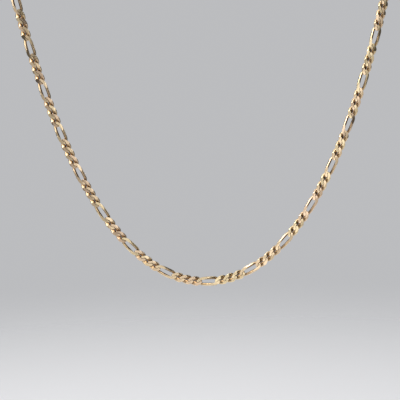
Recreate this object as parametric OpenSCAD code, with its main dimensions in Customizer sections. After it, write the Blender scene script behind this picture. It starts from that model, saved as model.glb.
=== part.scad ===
// Figaro neck chain: one long curb link and three short ones, repeated, as a closed loop.
// It hangs from the nape, where a plain bolt ring between two jump rings fastens it.
// Millimetres. Origin: on the chain's route, at the middle of the nape. +Z is up, -Y is the front
// and +X is to the right of someone who faces the chain.

/* [Link wire] */
// Thickness of the drawn wire of every link
wire_d = 0.7; // [0.62:0.02:0.74]
// Running play between two wires that bear on each other
play = 0.19; // [0.15:0.01:0.23]
// Room on each side of a wire in the link that holds it
side_room = 0.27; // [0.25:0.01:0.32]
// Thickness of the chain between its ground faces
face_t = 1.04; // [0.98:0.02:1.3]
// How far the ends of a link are turned out of its face
end_turn = 46; // [43:1:48]

/* [Pattern] */
// Daylight in a short link between its neighbours' wires
short_hole = 1.05; // [0.96:0.01:1.2]
// Daylight in a long link between its neighbours' wires
long_hole = 3.75; // [3.3:0.01:4.2]
// Short links between two long ones
shorts = 3; // [2, 3, 4]
// Length of the whole loop, which the chain makes up in full repeats
chain_l = 457; // [420:1:515]

/* [Hang] */
// Distance between the two strands where they turn over the shoulders
strand_span = 104.8; // [96:0.2:112]
// Radius of the turn over each shoulder
shoulder_r = 20; // [16:0.5:26]
// Straight run beside the neck, from the shoulder to the nape's curve
neck_run = 10.5; // [6:0.5:18]
// Rise of the neck's plane towards the nape
neck_rise = 25; // [15:1:35]
// Lean of the chain's face outwards, where it lies round the neck
neck_lean = 42; // [30:1:60]
// How far the chain has slid round its loop, to the right at the front
slip = 0.25; // [-2:0.05:2]

/* [Fastening] */
// Running play between the rings
ring_play = 0.24; // [0.2:0.01:0.4]
// Hole of each jump ring
jump_hole = 2.9; // [2.5:0.1:3.2]
// Wire of each jump ring
jump_wire = 0.65; // [0.55:0.05:0.75]
// How far each jump ring stands off the chain's face
jump_turn = 65; // [60:1:70]
// Hole of the bolt ring
clasp_hole = 4.2; // [3.6:0.1:5]
// Tube of the bolt ring
clasp_tube = 1.15; // [1:0.05:1.3]
// Hole of the bolt ring's eye
eye_hole = 1.4; // [1.3:0.05:1.7]
// Wire of the bolt ring's eye
eye_wire = 0.65; // [0.55:0.05:0.75]
// How far the eye is soldered into the tube
eye_sink = 0.2; // [0.15:0.05:0.3]
// Diameter of the thumb stud on the tube
stud_d = 0.7; // [0.6:0.05:0.8]
// Height of the thumb stud above the tube
stud_h = 0.55; // [0.4:0.05:0.8]

/* [Hidden] */

gold = "#d9b46c";
wire_sides = 5;
end_steps = 4;      // stretches of wire round each end of a link
round_fn = 64;      // smoothness of the rings

bar_y = wire_d + side_room;     // wire's centre line from the link's middle
short_pitch = short_hole + 2 * wire_d;
long_pitch = long_hole + 2 * wire_d;

jump_pitch = jump_hole - ring_play;
clasp_wall = clasp_tube + eye_wire - eye_sink;
clasp_pitch = clasp_hole + clasp_wall + eye_hole - ring_play;
fastening_l = 2 * jump_pitch + clasp_pitch;

// Repeats of the pattern on each side of the long link at the front. Short links end the chain.
period = shorts + 1;
repeat_l = shorts * short_pitch + long_pitch;
side_repeats = round(((chain_l - fastening_l - long_pitch) / 2 - shorts * short_pitch) / repeat_l);
last_link = side_repeats * period + shorts;

X_DIR = [1, 0, 0];
FRONT = [0, -1, 0];

function unit(v) = v / norm(v);
function clamp(v, limit) = max(-limit, min(limit, v));
function smooth(t) = let (u = max(0, min(1, t))) u * u * (3 - 2 * u);
function asinh(v) = ln(v + sqrt(v * v + 1));
function sinh(v) = (exp(v) - exp(-v)) / 2;

// Lengths along the chain, counted in links from the middle long one

function is_long(i) = i % period == 0;
// Start of link i, from the middle of link 0
function link_start(i) =
    i <= 0 ? -link_start(1 - i)
           : long_pitch / 2 + (i - 1) * short_pitch
             + floor((i - 1) / period) * (long_pitch - short_pitch);

chain_half = link_start(last_link + 1);
loop_half = chain_half + fastening_l / 2;

// The loop's route. It is the same on both sides, so it is worked out for the right side, from
// the lowest point at the front: a catenary, a bend over the shoulder, a straight run beside the
// neck and a half circle round the nape.

neck_dir = [0, cos(neck_rise), sin(neck_rise)];
neck_up = [0, -sin(neck_rise), cos(neck_rise)];

// What follows a catenary of parameter a: its length, direction and end, and the bend after it
function hang_len(a) = a * sinh(strand_span / 2 / a);
function hang_dir(a) = unit([a, 0, hang_len(a)]);
function bend_turn(a) = acos(hang_dir(a) * neck_dir);
function bend_in(a) = unit(neck_dir - hang_dir(a) * cos(bend_turn(a)));
function bend_offset(a, turn) =
    shoulder_r * (sin(turn) * hang_dir(a) + (1 - cos(turn)) * bend_in(a));
function bend_len(a) = shoulder_r * bend_turn(a) * PI / 180;
function neck_radius(a) = strand_span / 2 + bend_offset(a, bend_turn(a)).x;
function half_len(a) = hang_len(a) + bend_len(a) + neck_run + neck_radius(a) * PI / 2;

// The catenary that uses up the loop's length, by halving the interval of its parameter
function solve_hang(low, high, steps) =
    let (mid = (low + high) / 2)
    steps == 0 ? mid
               : half_len(mid) > loop_half ? solve_hang(mid, high, steps - 1)
                                           : solve_hang(low, mid, steps - 1);

sag = solve_hang(strand_span / 12, strand_span * 4, 50);
hang_end = hang_len(sag);
bend_end = hang_end + bend_len(sag);
run_end = bend_end + neck_run;
neck_r = neck_radius(sag);

function hang_point(s) = [sag * asinh(s / sag), 0, sqrt(sag * sag + s * s) - sag];
function bend_point(s) =
    hang_point(hang_end) + bend_offset(sag, (s - hang_end) / shoulder_r * 180 / PI);
function run_point(s) = bend_point(bend_end) + (s - bend_end) * neck_dir;
function nape_turn(s) = (s - run_end) / neck_r * 180 / PI;
function nape_point(s) =
    run_point(run_end)
    + neck_r * ((cos(nape_turn(s)) - 1) * X_DIR + sin(nape_turn(s)) * neck_dir);
nape = nape_point(loop_half);

function right_point(s) =
    (s < hang_end ? hang_point(s)
     : s < bend_end ? bend_point(s)
     : s < run_end ? run_point(s)
     : nape_point(s)) - nape;

// Direction of the chain's face: to the front where it hangs, out and up round the neck
function neck_out(s) =
    s < run_end ? X_DIR : cos(nape_turn(s)) * X_DIR + sin(nape_turn(s)) * neck_dir;
function right_face(s) =
    let (share = smooth((s - hang_end) / (run_end - hang_end)))
    (1 - share) * FRONT
    + share * (cos(neck_lean) * neck_up + sin(neck_lean) * neck_out(s));

function mirrored(v) = [-v.x, v.y, v.z];
// Length s along the whole loop, brought to -loop_half..loop_half
function wrapped(s) = s - 2 * loop_half * round(s / (2 * loop_half));
function route_point(s) =
    let (w = wrapped(s)) w < 0 ? mirrored(right_point(-w)) : right_point(w);
function route_face(s) =
    let (w = wrapped(s)) w < 0 ? mirrored(right_face(-w)) : right_face(w);

// Sets its children between two lengths along the loop: X along it, Z out of the chain's face
module on_route(from, to) {
    a = route_point(from);
    b = route_point(to);
    x = unit(b - a);
    face = route_face((from + to) / 2);
    z = unit(face - (face * x) * x);
    y = cross(z, x);
    at = (a + b) / 2;
    multmatrix([[x.x, y.x, z.x, at.x], [x.y, y.y, z.y, at.y], [x.z, y.z, z.z, at.z]])
        children();
}

// A curb link. Its wire follows a stadium that is twisted about the chain's line, so that both
// ends stand across their neighbours', and its faces are ground flat.

// Centre line before the twist, at an angle round the link's end (0 points along the chain)
function end_station(end, angle, straight) =
    [end * (straight + bar_y * cos(angle)), end * bar_y * sin(angle)];
function stations(straight, side_steps) = [
    for (end = [1, -1])
        each concat(
            [for (k = [0:end_steps])
                let (angle = -90 + 180 * k / end_steps)
                [end_station(end, angle, straight), end * [cos(angle), sin(angle)]]],
            [for (k = [1:1:side_steps - 1])
                [[end * straight * (1 - 2 * k / side_steps), end * bar_y], [0, end]]]
        )
];

// One point of the wire's skin, at an angle round the wire (0 points out of the link)
function skin_point(station, angle, half) =
    let (
        flat = station[0],
        out = station[1],
        r = wire_d / 2,
        along = flat.x + r * cos(angle) * out.x,
        across = flat.y + r * cos(angle) * out.y,
        above = r * sin(angle),
        turn = -end_turn * flat.x / half
    )
    [
        along,
        across * cos(turn) - above * sin(turn),
        clamp(across * sin(turn) + above * cos(turn), face_t / 2)
    ];

module curb_link(link_pitch, side_steps) {
    half = (link_pitch + play) / 2;
    straight = half + wire_d / 2 - bar_y;
    line = stations(straight, side_steps);
    count = len(line);
    points = [
        for (station = line, k = [0:wire_sides - 1])
            skin_point(station, 360 * (k + 0.5) / wire_sides, half)
    ];
    function at(i, k) = (i % count) * wire_sides + k % wire_sides;
    faces = [
        for (i = [0:count - 1], k = [0:wire_sides - 1])
            each [
                [at(i, k), at(i, k + 1), at(i + 1, k + 1)],
                [at(i, k), at(i + 1, k + 1), at(i + 1, k)]
            ]
    ];
    polyhedron(points, faces, convexity = 4);
}

module short_links() {
    color(gold)
        for (i = [-last_link:last_link])
            if (!is_long(i))
                on_route(link_start(i) + slip, link_start(i + 1) + slip)
                    curb_link(short_pitch, 1);
}

module long_links() {
    color(gold)
        for (i = [-last_link:last_link])
            if (is_long(i))
                on_route(link_start(i) + slip, link_start(i + 1) + slip)
                    curb_link(long_pitch, 2);
}

module ring(hole, wire) {
    rotate_extrude($fn = round_fn)
        translate([(hole + wire) / 2, 0]) circle(d = wire, $fn = round_fn);
}

// Each jump ring leans across the end of the last link, so the two lean opposite ways
module jump_ring_right() {
    start = chain_half + slip;
    color(gold)
        on_route(start, start + jump_pitch)
            rotate([jump_turn, 0, 0]) ring(jump_hole, jump_wire);
}

module jump_ring_left() {
    start = -chain_half + slip;
    color(gold)
        on_route(start - jump_pitch, start)
            rotate([-jump_turn, 0, 0]) ring(jump_hole, jump_wire);
}

// The bolt ring lies flat on the neck between the jump rings, its eye to the right strand
module bolt_ring() {
    start = chain_half + slip + jump_pitch;
    eye_x = (eye_hole - clasp_pitch - ring_play) / 2;
    ring_x = (clasp_pitch + ring_play - clasp_hole) / 2;
    color(gold)
        on_route(start, start + clasp_pitch) {
            translate([ring_x, 0, 0]) ring(clasp_hole, clasp_tube);
            translate([eye_x, 0, 0]) ring(eye_hole, eye_wire);
            translate([ring_x, (clasp_hole + clasp_tube) / 2, 0])
                cylinder(d = stud_d, h = clasp_tube / 2 + stud_h, $fn = round_fn);
        }
}

short_links();
long_links();
jump_ring_left();
jump_ring_right();
bolt_ring();
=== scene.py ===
"""Looks of a figaro neck chain: its polished links, its fastening, the studio and the camera.

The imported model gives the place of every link. A finer link of round wire with ground faces stands
in each place, and a node tree for each kind of link shapes it and sets it out. Lengths of the chain
and the camera are named in millimetres, those of the studio in metres, and angles in degrees.
Everything that is built is in metres and radians.
"""

from __future__ import annotations

import logging
import math
from dataclasses import dataclass, field
from enum import Enum

import bmesh
import bpy
import numpy as np
from mathutils import Matrix, Vector

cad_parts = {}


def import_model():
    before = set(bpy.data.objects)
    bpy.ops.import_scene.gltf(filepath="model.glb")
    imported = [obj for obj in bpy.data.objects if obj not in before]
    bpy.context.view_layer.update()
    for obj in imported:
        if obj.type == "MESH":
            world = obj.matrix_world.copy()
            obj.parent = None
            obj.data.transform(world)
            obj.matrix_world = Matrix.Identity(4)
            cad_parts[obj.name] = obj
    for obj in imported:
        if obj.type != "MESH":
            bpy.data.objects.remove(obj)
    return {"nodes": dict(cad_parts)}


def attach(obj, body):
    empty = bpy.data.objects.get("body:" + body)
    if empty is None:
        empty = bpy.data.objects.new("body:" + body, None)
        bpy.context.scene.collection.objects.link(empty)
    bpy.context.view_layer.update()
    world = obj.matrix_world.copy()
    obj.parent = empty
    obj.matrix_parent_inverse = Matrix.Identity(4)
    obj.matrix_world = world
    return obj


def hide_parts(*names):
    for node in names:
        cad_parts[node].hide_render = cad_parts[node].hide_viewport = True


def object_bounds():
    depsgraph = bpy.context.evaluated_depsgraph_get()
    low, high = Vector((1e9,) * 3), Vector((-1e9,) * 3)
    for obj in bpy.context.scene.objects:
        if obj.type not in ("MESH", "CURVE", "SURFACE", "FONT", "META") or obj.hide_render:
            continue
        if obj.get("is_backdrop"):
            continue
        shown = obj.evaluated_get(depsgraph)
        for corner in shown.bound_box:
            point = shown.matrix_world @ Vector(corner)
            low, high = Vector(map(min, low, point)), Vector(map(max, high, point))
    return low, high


LOG = logging.getLogger("figaro_chain")

MM = 0.001
MICRON = 0.001 * MM
MERGE_GAP = 1e-4 * MM
NOISE_MEAN = 0.5
BODY = "root"

Colour = tuple[float, float, float]


class Node(Enum):
    """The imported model's nodes."""

    SHORT_LINKS = "short_links"
    LONG_LINKS = "long_links"
    JUMP_RING_LEFT = "jump_ring_left"
    JUMP_RING_RIGHT = "jump_ring_right"
    BOLT_RING = "bolt_ring"


class Slot(Enum):
    """The record's material slots."""

    LINKS = "links"
    FASTENING = "fastening"


class Mark(Enum):
    """Attributes that the links carry for their finish."""

    GROUND = "ground_face"
    # Marks the inner sides, which carry the tarnish and the painted shade.
    INNER = "inner_side"
    TONE = "link_tone"
    PLACE = "place_in_link"


class Value:
    """A node's output socket, on which plain arithmetic adds Math nodes."""

    def __init__(self, graph: Graph, socket: bpy.types.NodeSocket) -> None:
        """Wrap a socket.

        Args:
            graph: The tree that the socket is in.
            socket: The output to calculate with.
        """
        self.graph = graph
        self.socket = socket

    def _math(self, operation: str, *others: Value | float) -> Value:
        """Add a Math node whose first input is this value."""
        inputs = dict(enumerate((self, *others)))
        return self.graph.add("ShaderNodeMath", {"operation": operation}, inputs)

    def __add__(self, other: Value | float) -> Value:
        """Sum."""
        return self._math("ADD", other)

    def __radd__(self, other: float) -> Value:
        """Sum with a number on the left."""
        return self._math("ADD", other)

    def __sub__(self, other: Value | float) -> Value:
        """Difference."""
        return self._math("SUBTRACT", other)

    def __rsub__(self, other: float) -> Value:
        """Difference from a number on the left."""
        return (self * -1.0) + other

    def __mul__(self, other: Value | float) -> Value:
        """Product."""
        return self._math("MULTIPLY", other)

    def __rmul__(self, other: float) -> Value:
        """Product with a number on the left."""
        return self._math("MULTIPLY", other)

    def __truediv__(self, other: Value | float) -> Value:
        """Quotient."""
        return self._math("DIVIDE", other)

    def __neg__(self) -> Value:
        """Opposite."""
        return self * -1.0

    def __abs__(self) -> Value:
        """Size without sign."""
        return self._math("ABSOLUTE")

    def sign(self) -> Value:
        """Return -1, 0 or 1."""
        return self._math("SIGN")

    def steady_sign(self) -> Value:
        """Return -1 or 1 for a length, and about 0 where only rounding parts it from 0."""
        return (self / MICRON).at_least(-1.0).at_most(1.0)

    def cos(self) -> Value:
        """Cosine of an angle in radians."""
        return self._math("COSINE")

    def sin(self) -> Value:
        """Sine of an angle in radians."""
        return self._math("SINE")

    def length_with(self, other: Value) -> Value:
        """Length across a right angle whose sides are the two values."""
        return (self * self + other * other)._math("SQRT")

    def to_power(self, power: Value | float) -> Value:
        """Raise the value, which isn't negative, to a power."""
        return self._math("POWER", power)

    def at_least(self, limit: Value | float) -> Value:
        """Larger of the two."""
        return self._math("MAXIMUM", limit)

    def at_most(self, limit: Value | float) -> Value:
        """Smaller of the two."""
        return self._math("MINIMUM", limit)

    def over(self, limit: Value | float) -> Value:
        """Return 1 above the limit and 0 elsewhere."""
        return self._math("GREATER_THAN", limit)

    def ramp(self, low: Value | float, high: Value | float) -> Value:
        """Add a smooth step.

        Args:
            low: Where the step starts, at 0.
            high: Where it ends, at 1.

        Returns:
            The height of the step.
        """
        settings = {"interpolation_type": "SMOOTHSTEP"}
        inputs = {"Value": self, "From Min": low, "From Max": high}
        return self.graph.add("ShaderNodeMapRange", settings, inputs, "Result")


class Graph:
    """A node tree, shader or geometry, that nodes are added to by type."""

    def __init__(self, tree: bpy.types.NodeTree) -> None:
        """Wrap a tree."""
        self.tree = tree

    def add(
        self,
        kind: str,
        settings: dict | None = None,
        inputs: dict | None = None,
        output: str | int = 0,
    ) -> Value | None:
        """Add one node.

        Args:
            kind: The node's type.
            settings: The node's own properties, set before its sockets.
            inputs: A number or a link for each socket, by name or place, and a tuple of links for
                a socket that takes several.
            output: The output to return, by name or place.

        Returns:
            The chosen output, or nothing for a node without outputs.
        """
        node = self.tree.nodes.new(kind)
        for name, setting in (settings or {}).items():
            setattr(node, name, setting)
        for key, given in (inputs or {}).items():
            socket = self._pick(node.inputs, key)
            values = given if socket.is_multi_input else (given,)
            for value in values:
                if isinstance(value, Value):
                    self.tree.links.new(value.socket, socket)
                else:
                    socket.default_value = value
        return Value(self, self._pick(node.outputs, output)) if node.outputs else None

    @staticmethod
    def _pick(sockets: bpy.types.bpy_prop_collection, key: str | int) -> bpy.types.NodeSocket:
        """Find a socket.

        Args:
            sockets: A node's inputs or outputs.
            key: The socket's place, or its name among those in use.

        Returns:
            The socket.
        """
        if isinstance(key, int):
            return sockets[key]
        return next(s for s in sockets if s.name == key and s.enabled)

    def sibling(self, value: Value, output: str | int) -> Value:
        """Return another output of the node that a value comes from."""
        return Value(self, self._pick(value.socket.node.outputs, output))

    def mix(self, share: Value, first: Value | Colour, second: Value | Colour) -> Value:
        """Mix two colours.

        Args:
            share: How much of the second colour there is.
            first: The colour at 0.
            second: The colour at 1.

        Returns:
            The mixed colour.
        """
        given = {0: share}
        for key, colour in ((6, first), (7, second)):
            given[key] = colour if isinstance(colour, Value) else (*colour, 1.0)
        return self.add("ShaderNodeMix", {"data_type": "RGBA"}, given, 2)


@dataclass(frozen=True)
class GoldFinish:
    """Polished pale yellow gold.

    The wire is drawn and tumbled, so it waves a little and carries fine random scratches. The faces
    are ground flat with a slight crown, so they are smoother and have fine parallel lines. The inner
    sides are darkened brown, partly by tarnish that nothing rubs off there and partly by painted
    shade of the recesses. A link's tone sets its colour between gold and rosy, and moves its pattern
    on. A piece without marks is bare round wire.
    """

    name: str
    gold: Colour = (0.97, 0.785, 0.48)
    rosy: Colour = (0.96, 0.71, 0.49)
    tone_shift: tuple[float, float] = (37.0, 11.0)
    # Dark brown for the inner sides: partly tarnish, partly painted shade of the recesses.
    tarnish_and_painted_shade: Colour = (0.2, 0.11, 0.04)
    tarnish_and_shade_share: float = 0.9
    tarnish_and_shade_base: float = 0.7
    tarnish_and_shade_patches: float = 0.6
    patch_scale: float = 2.2
    patch_detail: float = 3.0
    wire_roughness: float = 0.20
    face_roughness: float = 0.12
    film_roughness: float = 0.16
    patch_roughness: float = 0.08
    scratch_roughness: float = 0.06
    least_roughness: float = 0.05
    wave_size: float = 0.5
    wave_height: float = 0.012
    face_flatness: float = 0.8
    scratch_size: float = 0.035
    scratch_height: float = 0.0012
    scratch_share: float = 0.5
    line_scale: float = 2.0
    crown: float = 0.055

    def build(self) -> bpy.types.Material:
        """Make the material.

        Returns:
            A metal whose colour, roughness and normal vary over the links.
        """
        material = bpy.data.materials.new(self.name)
        material.use_nodes = True
        tree = material.node_tree
        graph = Graph(tree)
        ground = self._mark(graph, Mark.GROUND)
        inner = self._mark(graph, Mark.INNER)
        tone = self._mark(graph, Mark.TONE)
        own = self._mark(graph, Mark.PLACE, "Vector")
        place = self._shifted(graph, own, tone)
        inputs = {"Vector": place, "Scale": self.patch_scale, "Detail": self.patch_detail}
        patches = graph.add("ShaderNodeTexNoise", {}, inputs)
        inputs = {"Vector": place, "Scale": 1 / self.scratch_size}
        fine = graph.add("ShaderNodeTexNoise", {}, inputs)

        # Painted shade: the inner sides are darkened brown, partly tarnish and partly shade painted
        # into the recesses.
        tarnish_and_painted_shade = inner.ramp(0.0, 1.0) * (1.0 - ground)
        tarnish_and_painted_shade = tarnish_and_painted_shade * (self.tarnish_and_shade_base + self.tarnish_and_shade_patches * patches).at_most(1.0)
        colour = graph.mix(tone, self.gold, self.rosy)
        colour = graph.mix(tarnish_and_painted_shade * self.tarnish_and_shade_share, colour, self.tarnish_and_painted_shade)
        rough = self.wire_roughness + ground * (self.face_roughness - self.wire_roughness)
        rough = rough + tarnish_and_painted_shade * self.film_roughness
        rough = rough + (patches - NOISE_MEAN) * self.patch_roughness
        rough = rough + (fine - NOISE_MEAN) * self.scratch_roughness
        normal = self._relief(graph, own, place, ground, fine)

        bsdf = tree.nodes["Principled BSDF"]
        bsdf.inputs["Metallic"].default_value = 1.0
        tree.links.new(colour.socket, bsdf.inputs["Base Color"])
        tree.links.new(rough.at_least(self.least_roughness).socket, bsdf.inputs["Roughness"])
        tree.links.new(normal.socket, bsdf.inputs["Normal"])
        return material

    @staticmethod
    def _mark(graph: Graph, mark: Mark, output: str = "Fac") -> Value:
        """Read a mark, as a number or as a vector."""
        settings = {"attribute_type": "GEOMETRY", "attribute_name": mark.value}
        return graph.add("ShaderNodeAttribute", settings, output=output)

    def _shifted(self, graph: Graph, own: Value, tone: Value) -> Value:
        """Move the pattern on from link to link.

        Args:
            graph: The tree.
            own: The place in the link, in metres.
            tone: The link's tone.

        Returns:
            The place in the link in millimetres, moved on by its tone.
        """
        along, across = self.tone_shift
        shift = graph.add("ShaderNodeCombineXYZ", {}, {"X": tone * along, "Y": tone * across})
        inputs = {0: own, 1: (1 / MM,) * 3, 2: shift}
        return graph.add("ShaderNodeVectorMath", {"operation": "MULTIPLY_ADD"}, inputs)

    def _relief(
        self, graph: Graph, own: Value, place: Value, ground: Value, fine: Value
    ) -> Value:
        """Add the waves of the wire and the scratches, lines and crown of the faces.

        Args:
            graph: The tree.
            own: The place in the link, in metres.
            place: The same in millimetres, moved on by the link's tone.
            ground: 1 on the ground faces and 0 elsewhere.
            fine: The fine scratches.

        Returns:
            The normal.
        """
        inputs = {"Vector": place, "Scale": 1 / self.wave_size}
        wave = graph.add("ShaderNodeTexNoise", {}, inputs)
        inputs = {0: place, 1: (self.line_scale, 1 / self.scratch_size, 1.0)}
        drawn_out = graph.add("ShaderNodeVectorMath", {"operation": "MULTIPLY"}, inputs)
        lines = graph.add("ShaderNodeTexNoise", {}, {"Vector": drawn_out, "Scale": 1.0})
        across = graph.add("ShaderNodeSeparateXYZ", {}, {0: own}, "Y") / MM
        height = wave * (1.0 - ground * self.face_flatness) * self.wave_height
        height = height + (lines * ground + fine * self.scratch_share) * self.scratch_height
        height = height - across * across * ground * self.crown
        inputs = {"Height": height * MM, "Strength": 1.0, "Distance": 1.0}
        return graph.add("ShaderNodeBump", {}, inputs)


@dataclass(frozen=True)
class Seat:
    """Where one link lies: its middle, the chain's direction and the way that its face looks."""

    middle: Vector
    along: Vector
    face: Vector


@dataclass
class LinkRow:
    """All links of one kind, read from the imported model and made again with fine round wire.

    A link has two straight bars and two round ends. It is longer inside than the pitch by the play,
    and a neighbour's wire has the side room on each side in its hole. Each end is twisted by
    end_turn, evenly where twist_power is 1 and mostly near the ends where it is more. The bars are
    pressed into the hole by the spread. It is full at the link's middle and ends at spread_reach,
    and full_spread is the share of that reach where it starts to fade. Rock is the largest random
    turn about the chain, and rock_across its share across the chain.
    """

    node: Node
    piece_name: str
    pitch: float
    steps: int
    sides: int = 16
    points_per_step: int = 4
    wire_d: float = 0.8
    play: float = 0.04
    side_room: float = 0.11
    face_t: float = 0.86
    slab_reach: float = 4.0
    end_turn: float = 45.0
    twist_power: float = 1.0
    spread: float = 0.0
    spread_reach: float = 0.85
    full_spread: float = 0.3
    rock: float = 5.0
    rock_across: float = 0.3
    seed: int = 5
    seats: list[Seat] = field(default_factory=list)

    def read_seats(self) -> None:
        """Find each link's seat from the middle, the long axis and the short axis of its solid."""
        for points in loose_parts(packed_object(self.node)):
            middle = points.mean(axis=0)
            _, axes = np.linalg.eigh(np.cov((points - middle).T))
            self.seats.append(Seat(Vector(middle), Vector(axes[:, 2]), Vector(axes[:, 0])))

    def build(self, material: bpy.types.Material) -> bpy.types.Object:
        """Make the row of links as one plain mesh.

        Args:
            material: The finish of the links.

        Returns:
            The piece that stands for the node.
        """
        carrier = self._carrier()
        modifier = carrier.modifiers.new("links", "NODES")
        modifier.node_group = self._tree()
        given = {**self._sizes(), "Finish": material}
        for item in modifier.node_group.interface.items_tree:
            if item.name in given:
                modifier[item.identifier] = given[item.name]
        piece = plain_copy(carrier, self.piece_name)
        dissolve_spare_corners(piece.data)
        bpy.data.objects.remove(carrier)
        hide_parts(self.node.value)
        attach(piece, BODY)
        return piece

    def _sizes(self) -> dict[str, float]:
        """Work out the numbers that the tree takes.

        Returns:
            Lengths in metres, angles in radians and shares, by the names of the tree's inputs.
        """
        half = (self.pitch + self.play) / 2
        bar = self.wire_d + self.side_room
        return {
            "Wire diameter": self.wire_d * MM,
            "Inside half length": half * MM,
            "Bar offset": bar * MM,
            "Straight half": (half + self.wire_d / 2 - bar) * MM,
            "Face thickness": self.face_t * MM,
            "End turn": math.radians(self.end_turn),
            "Twist power": self.twist_power,
            "Spread": self.spread * MM,
            "Spread reach": self.spread_reach * MM,
            "Rock": math.radians(self.rock),
        }

    def _carrier(self) -> bpy.types.Object:
        """Make the points that the links are set on.

        Returns:
            A mesh of one point for each seat, with the seat's directions as attributes.
        """
        mesh = bpy.data.meshes.new(self.piece_name + "_seats")
        mesh.from_pydata([seat.middle for seat in self.seats], [], [])
        for name in ("along", "face"):
            attribute = mesh.attributes.new(name, "FLOAT_VECTOR", "POINT")
            flat = [c for seat in self.seats for c in getattr(seat, name)]
            attribute.data.foreach_set("vector", flat)
        return placed(self.piece_name + "_seats", mesh)

    def _tree(self) -> bpy.types.NodeTree:
        """Make the tree that shapes one link and sets a copy of it on each seat.

        Returns:
            The tree, with an input for each size.
        """
        tree = bpy.data.node_groups.new(self.piece_name, "GeometryNodeTree")
        sockets = {"Seats": "NodeSocketGeometry"}
        sockets.update(dict.fromkeys(self._sizes(), "NodeSocketFloat"))
        sockets["Finish"] = "NodeSocketMaterial"
        for name, kind in sockets.items():
            tree.interface.new_socket(name=name, in_out="INPUT", socket_type=kind)
        tree.interface.new_socket(name="Links", in_out="OUTPUT", socket_type="NodeSocketGeometry")
        graph = Graph(tree)
        group = graph.add("NodeGroupInput")
        size = {name: graph.sibling(group, name) for name in sockets}
        links = self._place_links(graph, size, self._shape_link(graph, size))
        graph.add("NodeGroupOutput", {}, {"Links": links})
        return tree

    def _shape_link(self, graph: Graph, size: dict[str, Value]) -> Value:
        """Add the nodes that make one link round the origin, along X.

        Args:
            graph: The tree.
            size: The tree's inputs by name.

        Returns:
            The link's mesh with its marks.
        """
        path = self._circle(graph, self.points_per_step * self.steps, size["Bar offset"])
        x, _, _ = self._position(graph)
        side = x.steady_sign()
        stretch = graph.add("ShaderNodeCombineXYZ", {}, {"X": side * size["Straight half"]})
        path = graph.add("GeometryNodeSetPosition", {}, {"Geometry": path, "Offset": stretch})
        path = graph.add("GeometryNodeResampleCurve", {}, {"Curve": path, "Count": self.steps})
        section = self._circle(graph, self.sides, size["Wire diameter"] * 0.5)
        mesh = graph.add("GeometryNodeCurveToMesh", {}, {"Curve": path, "Profile Curve": section})
        mesh = self._spread_bars(graph, size, mesh)

        x, y, z = self._position(graph)
        y, z = self._rotated(y, z, -self._turn(size, x))
        at = graph.add("ShaderNodeCombineXYZ", {}, {"X": x, "Y": y, "Z": z})
        mesh = graph.add("GeometryNodeSetPosition", {}, {"Geometry": mesh, "Position": at})
        return self._add_marks(graph, size, self._grind(graph, size, mesh))

    @staticmethod
    def _circle(graph: Graph, points: int, radius: Value) -> Value:
        """Add a circle round the origin."""
        inputs = {"Resolution": points, "Radius": radius}
        return graph.add("GeometryNodeCurvePrimitiveCircle", {"mode": "RADIUS"}, inputs)

    @staticmethod
    def _turn(size: dict[str, Value], x: Value) -> Value:
        """Return how far a link is twisted at a distance from its middle."""
        share = abs(x) / size["Inside half length"]
        return x.sign() * share.to_power(size["Twist power"]) * size["End turn"]

    @staticmethod
    def _rotated(y: Value, z: Value, turn: Value) -> tuple[Value, Value]:
        """Turn a place about X."""
        cos, sin = turn.cos(), turn.sin()
        return y * cos - z * sin, y * sin + z * cos

    def _spread_bars(self, graph: Graph, size: dict[str, Value], mesh: Value) -> Value:
        """Spread the bars into the hole round the link's middle, most halfway between the faces.

        Args:
            graph: The tree.
            size: The tree's inputs by name.
            mesh: The link before its twist.

        Returns:
            The link with its spread bars.
        """
        x, y, _ = self._position(graph)
        inside = (size["Bar offset"] - abs(y)) / (size["Wire diameter"] * 0.5)
        inside = inside.at_least(0.0)
        reach = size["Spread reach"]
        near = 1.0 - abs(x).ramp(reach * self.full_spread, reach)
        shift = -(y.sign() * inside * inside * near * size["Spread"])
        offset = graph.add("ShaderNodeCombineXYZ", {}, {"Y": shift})
        return graph.add("GeometryNodeSetPosition", {}, {"Geometry": mesh, "Offset": offset})

    def _grind(self, graph: Graph, size: dict[str, Value], mesh: Value) -> Value:
        """Cut a link's faces flat, by what it shares with a slab as thick as the chain.

        Args:
            graph: The tree.
            size: The tree's inputs by name.
            mesh: The twisted link.

        Returns:
            The link with flat faces.
        """
        wide = size["Inside half length"] * self.slab_reach
        inputs = {"X": wide, "Y": wide, "Z": size["Face thickness"]}
        across = graph.add("ShaderNodeCombineXYZ", {}, inputs)
        slab = graph.add("GeometryNodeMeshCube", {}, {"Size": across})
        settings = {"operation": "INTERSECT", "solver": "EXACT"}
        return graph.add("GeometryNodeMeshBoolean", settings, {"Mesh": (mesh, slab)})

    def _add_marks(self, graph: Graph, size: dict[str, Value], mesh: Value) -> Value:
        """Mark a link's ground faces, inner sides and places, and shade its wire smooth.

        Args:
            graph: The tree.
            size: The tree's inputs by name.
            mesh: The ground link.

        Returns:
            The link with its marks.
        """
        x, y, z = self._position(graph)
        untwisted_y, _ = self._rotated(y, z, self._turn(size, x))
        past = (abs(x) - size["Straight half"]).at_least(0.0)
        outwards = past.length_with(untwisted_y) - size["Bar offset"]
        inner = 0.5 - outwards / size["Wire diameter"]
        mesh = self._store(graph, mesh, Mark.INNER, inner)
        here = graph.add("GeometryNodeInputPosition")
        mesh = self._store(graph, mesh, Mark.PLACE, here, "FLOAT_VECTOR")
        ground = abs(z).over(size["Face thickness"] * 0.5 - MICRON)
        mesh = self._store(graph, mesh, Mark.GROUND, ground, domain="FACE")
        inputs = {"Geometry": mesh, "Shade Smooth": 1.0 - ground}
        return graph.add("GeometryNodeSetShadeSmooth", {"domain": "FACE"}, inputs)

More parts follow.
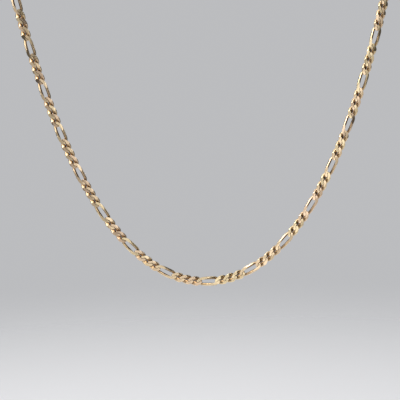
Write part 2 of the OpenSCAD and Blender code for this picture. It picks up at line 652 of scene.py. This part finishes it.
    @staticmethod
    def _position(graph: Graph) -> tuple[Value, Value, Value]:
        """Read the position.

        Args:
            graph: The tree.

        Returns:
            Its three parts.
        """
        here = graph.add("GeometryNodeInputPosition")
        x = graph.add("ShaderNodeSeparateXYZ", {}, {0: here}, "X")
        return x, graph.sibling(x, "Y"), graph.sibling(x, "Z")

    @staticmethod
    def _store(
        graph: Graph,
        geometry: Value,
        mark: Mark,
        value: Value,
        kind: str = "FLOAT",
        domain: str = "POINT",
    ) -> Value:
        """Store a mark.

        Args:
            graph: The tree.
            geometry: What carries the mark.
            mark: The mark.
            value: The mark's values.
            kind: Their type.
            domain: What each of them belongs to.

        Returns:
            The geometry with the mark.
        """
        settings = {"data_type": kind, "domain": domain}
        inputs = {"Geometry": geometry, "Name": mark.value, "Value": value}
        return graph.add("GeometryNodeStoreNamedAttribute", settings, inputs)

    def _place_links(self, graph: Graph, size: dict[str, Value], link: Value) -> Value:
        """Add the nodes that set the link on each seat, rocked a little in its neighbours.

        Args:
            graph: The tree.
            size: The tree's inputs by name.
            link: The link's mesh.

        Returns:
            The row of links as one mesh with its material.
        """
        along, face = (self._seat_direction(graph, name) for name in ("along", "face"))
        turned = graph.add(
            "FunctionNodeAxesToRotation",
            {"primary_axis": "X", "secondary_axis": "Z"},
            {"Primary Axis": along, "Secondary Axis": face},
        )
        inputs = {"X": size["Rock"], "Y": size["Rock"] * self.rock_across}
        rock = graph.add("ShaderNodeCombineXYZ", {}, inputs)
        back = graph.add("ShaderNodeVectorMath", {"operation": "SCALE"}, {0: rock, "Scale": -1.0})
        random = graph.add(
            "FunctionNodeRandomValue",
            {"data_type": "FLOAT_VECTOR"},
            {"Min": back, "Max": rock, "Seed": self.seed},
        )
        rocked = graph.add("FunctionNodeEulerToRotation", {}, {0: random})
        rotation = graph.add(
            "FunctionNodeRotateRotation",
            {"rotation_space": "LOCAL"},
            {"Rotation": turned, "Rotate By": rocked},
        )
        inputs = {"Points": size["Seats"], "Instance": link, "Rotation": rotation}
        links = graph.add("GeometryNodeInstanceOnPoints", {}, inputs)
        settings = {"data_type": "FLOAT"}
        tone = graph.add("FunctionNodeRandomValue", settings, {"Seed": self.seed + 1}, "Value")
        links = self._store(graph, links, Mark.TONE, tone, domain="INSTANCE")
        links = graph.add("GeometryNodeRealizeInstances", {}, {"Geometry": links})
        inputs = {"Geometry": links, "Material": size["Finish"]}
        return graph.add("GeometryNodeSetMaterial", {}, inputs)

    @staticmethod
    def _seat_direction(graph: Graph, name: str) -> Value:
        """Read one of the seats' directions."""
        settings = {"data_type": "FLOAT_VECTOR"}
        return graph.add("GeometryNodeInputNamedAttribute", settings, {"Name": name}, "Attribute")


def packed_object(node: Node) -> bpy.types.Object:
    """Return a node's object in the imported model."""
    return bpy.data.objects[node.value]


def placed(name: str, data: bpy.types.ID) -> bpy.types.Object:
    """Put something in the scene.

    Args:
        name: The new object's name.
        data: Its mesh, light or camera.

    Returns:
        The new object, at the origin.
    """
    thing = bpy.data.objects.new(name, data)
    bpy.context.scene.collection.objects.link(thing)
    return thing


def merged_mesh(source: bpy.types.Object) -> bmesh.types.BMesh:
    """Copy an object's mesh and join its loose triangles.

    Args:
        source: The object.

    Returns:
        The mesh, whose triangles share their points.
    """
    merged = bmesh.new()
    merged.from_mesh(source.data)
    bmesh.ops.remove_doubles(merged, verts=merged.verts, dist=MERGE_GAP)
    return merged


def loose_parts(source: bpy.types.Object) -> list[np.ndarray]:
    """Split a node's mesh into its loose solids.

    Args:
        source: The node's object, whose triangles don't share points.

    Returns:
        The points of each solid, in the order in which the mesh holds them.
    """
    merged = merged_mesh(source)
    parts = []
    left = set(merged.verts)
    for start in merged.verts:
        if start not in left:
            continue
        left.discard(start)
        group = [start]
        for vertex in group:
            for edge in vertex.link_edges:
                other = edge.other_vert(vertex)
                if other in left:
                    left.discard(other)
                    group.append(other)
        parts.append(np.array([vertex.co[:] for vertex in group]))
    merged.free()
    return parts


def plain_copy(source: bpy.types.Object, name: str) -> bpy.types.Object:
    """Make a plain mesh object from what an object's modifiers give.

    Args:
        source: The object with live modifiers.
        name: The new object's name.

    Returns:
        The new object, at the origin.
    """
    graph = bpy.context.evaluated_depsgraph_get()
    mesh = bpy.data.meshes.new_from_object(source.evaluated_get(graph), depsgraph=graph)
    mesh.name = name
    return placed(name, mesh)


def dissolve_spare_corners(mesh: bpy.types.Mesh) -> None:
    """Remove the corners that only two edges meet at, which grinding leaves along its cuts.

    Args:
        mesh: The mesh to change.
    """
    work = bmesh.new()
    work.from_mesh(mesh)
    spare = [vertex for vertex in work.verts if len(vertex.link_edges) == 2]
    bmesh.ops.dissolve_verts(work, verts=spare)
    work.to_mesh(mesh)
    work.free()


@dataclass
class Fastening:
    """The jump rings and the bolt ring at the nape, as smooth polished copies of their solids."""

    crease: float = 40.0
    nodes: tuple[Node, ...] = (Node.JUMP_RING_LEFT, Node.JUMP_RING_RIGHT, Node.BOLT_RING)

    def build(self, material: bpy.types.Material) -> list[bpy.types.Object]:
        """Make each piece.

        Args:
            material: The finish of the fastening.

        Returns:
            The pieces, in the order of their nodes.
        """
        return [self._copy(node, material) for node in self.nodes]

    def _copy(self, node: Node, material: bpy.types.Material) -> bpy.types.Object:
        """Make one piece, which shades smooth up to its creases.

        Args:
            node: The node that the piece stands for.
            material: Its finish.

        Returns:
            The piece.
        """
        merged = merged_mesh(packed_object(node))
        for face in merged.faces:
            face.smooth = True
        for edge in merged.edges:
            edge.smooth = edge.calc_face_angle(0.0) < math.radians(self.crease)
        mesh = bpy.data.meshes.new(node.value + "_polished")
        merged.to_mesh(mesh)
        merged.free()
        places = mesh.attributes.new(Mark.PLACE.value, "FLOAT_VECTOR", "POINT")
        places.data.foreach_set("vector", [c for v in mesh.vertices for c in v.co])
        mesh.materials.append(material)
        piece = placed(node.value + "_polished", mesh)
        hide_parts(node.value)
        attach(piece, BODY)
        return piece


def way_to(azimuth: float, elevation: float) -> Vector:
    """Find a direction from the chain.

    Args:
        azimuth: The turn from the front, which grows to the left.
        elevation: The rise from the level.

    Returns:
        The direction, one unit long.
    """
    turn, rise = math.radians(azimuth), math.radians(elevation)
    level = math.cos(rise)
    return Vector((-math.sin(turn) * level, -math.cos(turn) * level, math.sin(rise)))


@dataclass(frozen=True)
class SoftBox:
    """One large soft light, placed round the chain and turned to it.

    Its brightness is that of its face, whatever the face's size.
    """

    name: str
    azimuth: float
    elevation: float
    distance: float
    brightness: float
    width: float
    height: float
    colour: Colour = (1.0, 1.0, 1.0)

    def build(self, aim: Vector) -> None:
        """Add the light.

        Args:
            aim: The point that it shines on.
        """
        light = bpy.data.lights.new(self.name, "AREA")
        light.shape = "RECTANGLE"
        light.size = self.width
        light.size_y = self.height
        light.energy = self.brightness * math.pi * self.width * self.height
        light.color = self.colour
        lamp = placed(self.name, light)
        way = way_to(self.azimuth, self.elevation)
        lamp.location = aim + way * self.distance
        lamp.rotation_euler = way.to_track_quat("Z", "Y").to_euler()


@dataclass(frozen=True)
class FloorFinish:
    """Matt pale floor, which turns see-through between two shares of its reach."""

    reach: float = 0.7
    fade: tuple[float, float] = (0.35, 0.98)
    colour: Colour = (0.75, 0.75, 0.76)
    roughness: float = 0.9

    def build(self, middle: Vector) -> bpy.types.Material:
        """Make the material.

        Args:
            middle: The floor's middle.

        Returns:
            A material that fades towards the floor's rim.
        """
        material = bpy.data.materials.new("pale_floor")
        material.use_nodes = True
        tree = material.node_tree
        graph = Graph(tree)
        here = graph.add("ShaderNodeTexCoord", output="Object")
        inputs = {0: here, 1: tuple(middle)}
        away = graph.add("ShaderNodeVectorMath", {"operation": "SUBTRACT"}, inputs)
        away = graph.add("ShaderNodeVectorMath", {"operation": "LENGTH"}, {0: away}, "Value")
        start, end = (self.reach * share for share in self.fade)
        solid = 1.0 - away.ramp(start, end)
        bsdf = tree.nodes["Principled BSDF"]
        bsdf.inputs["Base Color"].default_value = (*self.colour, 1.0)
        bsdf.inputs["Roughness"].default_value = self.roughness
        tree.links.new(solid.socket, bsdf.inputs["Alpha"])
        return material


@dataclass
class Studio:
    """A plain pale floor, a pale room and soft boxes.

    Polished gold reflects the room as dark, with one large bright window. The window's edge runs
    between two cosines of the angle from its middle.
    """

    floor_gap: float = 0.15
    floor_finish: FloorFinish = FloorFinish()
    rim_steps: int = 64
    background: Colour = (0.50, 0.505, 0.52)
    room: Colour = (0.07, 0.07, 0.07)
    window: Colour = (2.6, 2.6, 2.6)
    window_azimuth: float = 25.0
    window_elevation: float = 42.0
    window_edge: tuple[float, float] = (0.7, 0.98)
    boxes: tuple[SoftBox, ...] = (
        SoftBox("key_box", 30.0, 48.0, 1.0, 4.5, 0.6, 0.6, (1.0, 0.98, 0.95)),
        SoftBox("left_box", 70.0, 10.0, 1.0, 3.5, 0.4, 0.7),
        SoftBox("far_right_card", -18.0, -9.0, 0.9, 0.46, 0.19, 0.44),
        SoftBox("right_card", -7.0, -9.0, 0.9, 1.1, 0.155, 0.42, (0.97, 0.98, 1.0)),
        SoftBox("middle_card", 3.0, -11.0, 0.9, 0.72, 0.125, 0.42),
        SoftBox("left_card", 15.0, -11.0, 0.9, 0.34, 0.24, 0.44),
        SoftBox("rim_box", 150.0, 35.0, 1.2, 2.0, 0.8, 0.5),
        SoftBox("side_box", -110.0, 20.0, 1.2, 1.2, 0.4, 0.8),
        SoftBox("top_box", 180.0, 68.0, 1.0, 1.6, 0.9, 0.5),
    )

    def build(self, low: Vector, high: Vector) -> None:
        """Add the floor, the room and the lights, and show colours as they are.

        Args:
            low: The lowest corner of the chain's box.
            high: Its highest corner.
        """
        middle = (low + high) / 2
        self._floor(Vector((middle.x, middle.y, low.z - self.floor_gap)))
        self._world()
        for box in self.boxes:
            box.build(middle)
        bpy.context.scene.view_settings.view_transform = "Standard"

    def _floor(self, middle: Vector) -> None:
        """Add a round floor that fades into the background towards its rim.

        Args:
            middle: The floor's middle.
        """
        reach = self.floor_finish.reach
        turns = [math.tau * step / self.rim_steps for step in range(self.rim_steps)]
        rim = [
            (middle.x + reach * math.cos(turn), middle.y + reach * math.sin(turn), middle.z)
            for turn in turns
        ]
        mesh = bpy.data.meshes.new("floor")
        mesh.from_pydata(rim, [], [tuple(range(self.rim_steps))])
        mesh.materials.append(self.floor_finish.build(middle))
        floor = placed("floor", mesh)
        floor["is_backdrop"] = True

    def _world(self) -> None:
        """Light the scene with the pale room, and show gold the dark room with its window."""
        world = bpy.data.worlds.new("room")
        world.use_nodes = True
        bpy.context.scene.world = world
        tree = world.node_tree
        graph = Graph(tree)
        way = graph.add("ShaderNodeTexCoord", output="Generated")
        inputs = {0: way, 1: tuple(way_to(self.window_azimuth, self.window_elevation))}
        facing = graph.add("ShaderNodeVectorMath", {"operation": "DOT_PRODUCT"}, inputs, "Value")
        reflected = graph.mix(facing.ramp(*self.window_edge), self.room, self.window)
        glossy = graph.add("ShaderNodeLightPath", output="Is Glossy Ray")
        colour = graph.mix(glossy, self.background, reflected)
        tree.links.new(colour.socket, tree.nodes["Background"].inputs["Color"])


@dataclass(frozen=True)
class PhotoCamera:
    """A camera that sees the hanging front of the chain as the photo does."""

    distance: float = 320.0
    elevation: float = 8.165
    roll: float = -1.373
    lens: float = 102.74
    sensor: float = 36.0
    nearest: float = 10.0
    aim_x: float = -1.598
    aim_rise: float = 23.24

    def build(self, lowest: Vector) -> None:
        """Add the camera.

        Args:
            lowest: The lowest point of the chain's line at the front.
        """
        aim = Vector((self.aim_x * MM, lowest.y, lowest.z + self.aim_rise * MM))
        tilt, roll = math.radians(self.elevation), math.radians(self.roll)
        back = Vector((0.0, -math.cos(tilt), math.sin(tilt)))
        right = Vector((1.0, 0.0, 0.0))
        up = back.cross(right)
        rolled_right = right * math.cos(roll) + up * math.sin(roll)
        rolled_up = up * math.cos(roll) - right * math.sin(roll)
        data = bpy.data.cameras.new("camera")
        data.lens = self.lens
        data.sensor_fit = "HORIZONTAL"
        data.sensor_width = self.sensor
        data.clip_start = self.nearest * MM
        camera = placed("camera", data)
        turn = Matrix((rolled_right, rolled_up, back)).transposed().to_4x4()
        camera.matrix_world = Matrix.Translation(aim + back * self.distance * MM) @ turn
        bpy.context.scene.camera = camera


def main() -> None:
    """Build the chain's looks in order, then the studio and the camera."""
    logging.basicConfig(level=logging.INFO, format="%(name)s: %(message)s")
    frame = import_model()
    cad_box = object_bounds()
    LOG.info("packed nodes: %s", ", ".join(sorted(frame["nodes"])))

    link_gold = GoldFinish("link_gold").build()
    ring_gold = GoldFinish("fastening_gold").build()

    rows = (
        LinkRow(Node.SHORT_LINKS, "short_curb_links", pitch=2.45, steps=36, spread=0.49),
        LinkRow(Node.LONG_LINKS, "long_curb_links", pitch=5.15, steps=56, twist_power=1.6, seed=9),
    )
    for row in rows:
        row.read_seats()
        piece = row.build(link_gold)
        LOG.info("%s: %d links, %d faces", piece.name, len(row.seats), len(piece.data.polygons))
    for piece in Fastening().build(ring_gold):
        LOG.info("%s: %d faces", piece.name, len(piece.data.polygons))

    low, high = (Vector(corner) for corner in cad_box)
    Studio().build(low, high)
    lowest = min((seat.middle for seat in rows[1].seats), key=lambda middle: middle.z)
    PhotoCamera().build(lowest)


if __name__ == "__main__":
    main()
